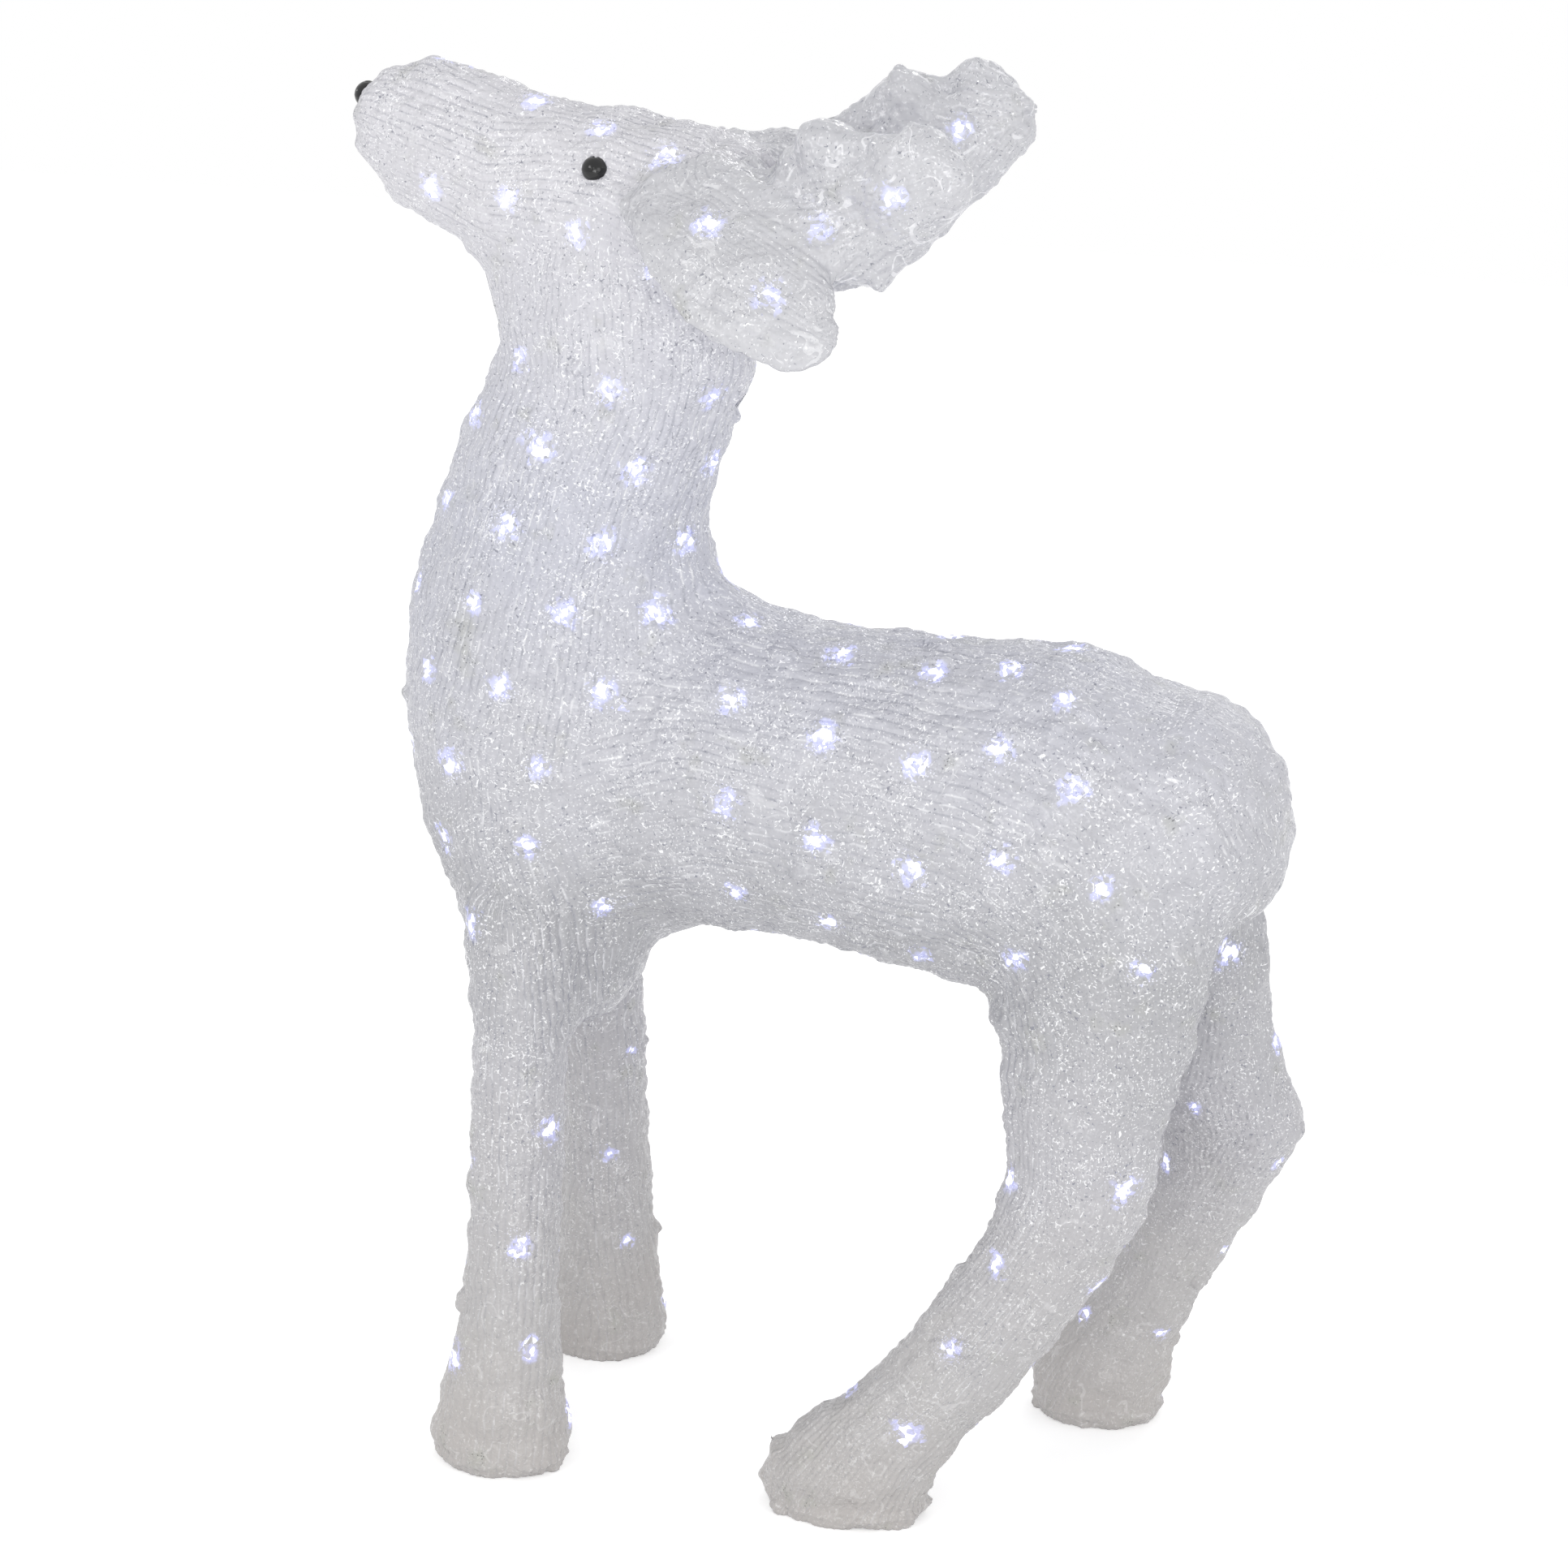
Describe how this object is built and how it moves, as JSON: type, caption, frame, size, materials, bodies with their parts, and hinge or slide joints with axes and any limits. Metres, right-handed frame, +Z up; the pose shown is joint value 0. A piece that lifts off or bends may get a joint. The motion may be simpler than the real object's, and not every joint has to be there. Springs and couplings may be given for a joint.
{
  "type": "light up yard reindeer",
  "caption": "Standing fawn figure of fused clear acrylic strands, head raised, with ears, small antlers and bead eyes, hollow and lit from inside by LED strings.",
  "frame": {"origin": "on the ground, under the middle of the bounding box", "axes": "+Z up, -X towards the muzzle, -Y towards the fawn's left side"},
  "size_m": [0.4694, 0.2078, 0.6981],
  "materials": {
    "spun_acrylic": "clear strands fused side by side, frosted and sparkling",
    "clear_acrylic": "clear and glossy, with fewer strands",
    "black_bead": "gloss black",
    "led_and_wire": "clear bulbs on a clear insulated wire pair",
    "white_rubber": "matt white"
  },
  "bodies": {
    "root": {"head_shell_left": "spun_acrylic", "head_shell_right": "spun_acrylic", "neck_shell_left": "spun_acrylic", "neck_shell_right": "spun_acrylic", "body_shell_left": "spun_acrylic", "body_shell_right": "spun_acrylic", "front_leg_left": "spun_acrylic", "front_leg_right": "spun_acrylic", "hind_leg_left": "spun_acrylic", "hind_leg_right": "spun_acrylic", "front_sole_left": "spun_acrylic", "front_sole_right": "spun_acrylic", "hind_sole_left": "spun_acrylic", "hind_sole_right": "spun_acrylic", "ear_left": "spun_acrylic", "ear_right": "spun_acrylic", "tail": "spun_acrylic", "antler_left": "clear_acrylic", "antler_right": "clear_acrylic", "eye_left_bead": "black_bead", "eye_right_bead": "black_bead", "nose_bead": "black_bead", "head_lights": "led_and_wire", "neck_lights": "led_and_wire", "body_lights": "led_and_wire", "front_leg_left_lights": "led_and_wire", "front_leg_right_lights": "led_and_wire", "hind_leg_left_lights": "led_and_wire", "hind_leg_right_lights": "led_and_wire", "ear_left_lights": "led_and_wire", "ear_right_lights": "led_and_wire", "antler_left_lights": "led_and_wire", "antler_right_lights": "led_and_wire", "cable_bush": "white_rubber", "junction_box": "white_rubber"}
  },
  "joints": []
}
